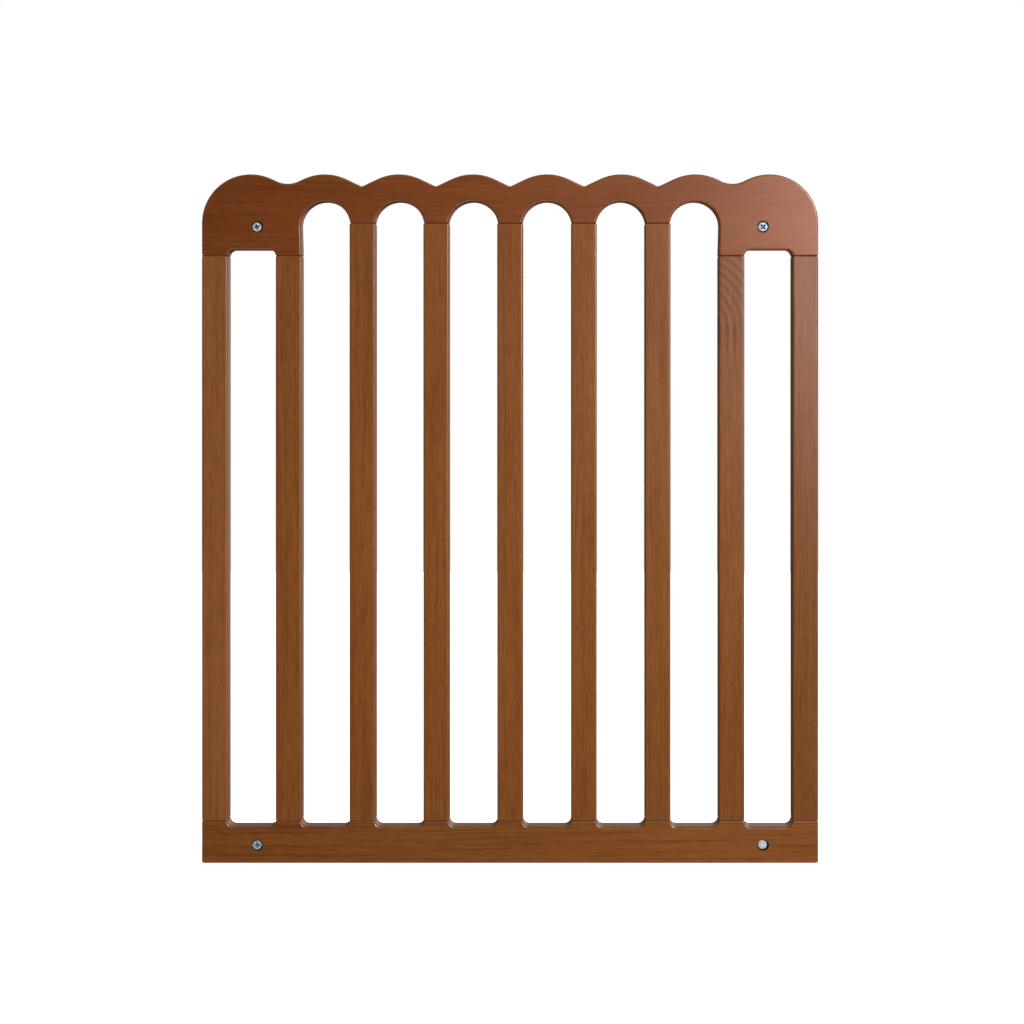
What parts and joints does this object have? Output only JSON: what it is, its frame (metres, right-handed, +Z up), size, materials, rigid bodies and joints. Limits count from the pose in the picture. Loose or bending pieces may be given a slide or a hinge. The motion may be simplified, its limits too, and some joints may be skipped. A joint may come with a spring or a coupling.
{
  "type": "safety baby gate",
  "caption": "Slatted wooden safety gate panel with an arched, scalloped top rail, clamped in a doorway by spindle-driven rubber feet in the ends of its rails.",
  "frame": {"origin": "middle of the underside of the bottom rail, half way through the board", "axes": "+X along the rails to the right seen from the front, +Y through the board to the back, +Z up"},
  "size_m": [0.68, 0.022, 0.76],
  "materials": {
    "stained_beech": "walnut-brown stain under satin varnish",
    "raw_beech": "raw",
    "zinc_plated_steel": "bluish zinc plate",
    "spring_steel": "oiled",
    "foot_rubber": "matt"
  },
  "bodies": {
    "root": {"top_rail": "stained_beech", "bottom_rail": "stained_beech", "slat_1": "stained_beech", "slat_2": "stained_beech", "slat_3": "stained_beech", "slat_4": "stained_beech", "slat_5": "stained_beech", "slat_6": "stained_beech", "slat_7": "stained_beech", "slat_8": "stained_beech", "slat_9": "stained_beech", "dowels_slat_1_top": "raw_beech", "dowels_slat_1_bottom": "raw_beech", "dowels_slat_2_top": "raw_beech", "dowels_slat_2_bottom": "raw_beech", "dowels_slat_3_top": "raw_beech", "dowels_slat_3_bottom": "raw_beech", "dowels_slat_4_top": "raw_beech", "dowels_slat_4_bottom": "raw_beech", "dowels_slat_5_top": "raw_beech", "dowels_slat_5_bottom": "raw_beech", "dowels_slat_6_top": "raw_beech", "dowels_slat_6_bottom": "raw_beech", "dowels_slat_7_top": "raw_beech", "dowels_slat_7_bottom": "raw_beech", "dowels_slat_8_top": "raw_beech", "dowels_slat_8_bottom": "raw_beech", "dowels_slat_9_top": "raw_beech", "dowels_slat_9_bottom": "raw_beech", "barrel_nut_top_left": "zinc_plated_steel", "barrel_nut_top_right": "zinc_plated_steel", "barrel_nut_bottom_left": "zinc_plated_steel", "barrel_nut_bottom_right": "zinc_plated_steel"},
    "foot_top_left": {"foot_cup_top_left": "zinc_plated_steel", "foot_pad_top_left": "foot_rubber", "snap_ring_top_left": "spring_steel"},
    "spindle_top_left": {"spindle_top_left": "zinc_plated_steel"},
    "foot_top_right": {"foot_cup_top_right": "zinc_plated_steel", "foot_pad_top_right": "foot_rubber", "snap_ring_top_right": "spring_steel"},
    "spindle_top_right": {"spindle_top_right": "zinc_plated_steel"},
    "foot_bottom_left": {"foot_cup_bottom_left": "zinc_plated_steel", "foot_pad_bottom_left": "foot_rubber", "snap_ring_bottom_left": "spring_steel"},
    "spindle_bottom_left": {"spindle_bottom_left": "zinc_plated_steel"},
    "foot_bottom_right": {"foot_cup_bottom_right": "zinc_plated_steel", "foot_pad_bottom_right": "foot_rubber", "snap_ring_bottom_right": "spring_steel"},
    "spindle_bottom_right": {"spindle_bottom_right": "zinc_plated_steel"}
  },
  "joints": [
    {"name": "foot_top_left_slide", "type": "slide", "parent": "root", "child": "foot_top_left", "axis": [-1, 0, 0], "range_m": [0, 0.025]},
    {"name": "spindle_top_left_turn", "type": "hinge", "parent": "foot_top_left", "child": "spindle_top_left", "pos_m": [-0.279, 0, 0.702], "axis": [-1, 0, 0], "range_deg": [0, 7200]},
    {"name": "foot_top_right_slide", "type": "slide", "parent": "root", "child": "foot_top_right", "axis": [1, 0, 0], "range_m": [0, 0.025]},
    {"name": "spindle_top_right_turn", "type": "hinge", "parent": "foot_top_right", "child": "spindle_top_right", "pos_m": [0.279, 0, 0.702], "axis": [1, 0, 0], "range_deg": [0, 7200]},
    {"name": "foot_bottom_left_slide", "type": "slide", "parent": "root", "child": "foot_bottom_left", "axis": [-1, 0, 0], "range_m": [0, 0.025]},
    {"name": "spindle_bottom_left_turn", "type": "hinge", "parent": "foot_bottom_left", "child": "spindle_bottom_left", "pos_m": [-0.279, 0, 0.02], "axis": [-1, 0, 0], "range_deg": [0, 7200]},
    {"name": "foot_bottom_right_slide", "type": "slide", "parent": "root", "child": "foot_bottom_right", "axis": [1, 0, 0], "range_m": [0, 0.025]},
    {"name": "spindle_bottom_right_turn", "type": "hinge", "parent": "foot_bottom_right", "child": "spindle_bottom_right", "pos_m": [0.279, 0, 0.02], "axis": [1, 0, 0], "range_deg": [0, 7200]}
  ],
  "couplings": [
    {"joint": "spindle_top_left_turn", "follows": "foot_top_left_slide", "rad_per_m": 5026.5},
    {"joint": "spindle_top_right_turn", "follows": "foot_top_right_slide", "rad_per_m": 5026.5},
    {"joint": "spindle_bottom_left_turn", "follows": "foot_bottom_left_slide", "rad_per_m": 5026.5},
    {"joint": "spindle_bottom_right_turn", "follows": "foot_bottom_right_slide", "rad_per_m": 5026.5}
  ]
}
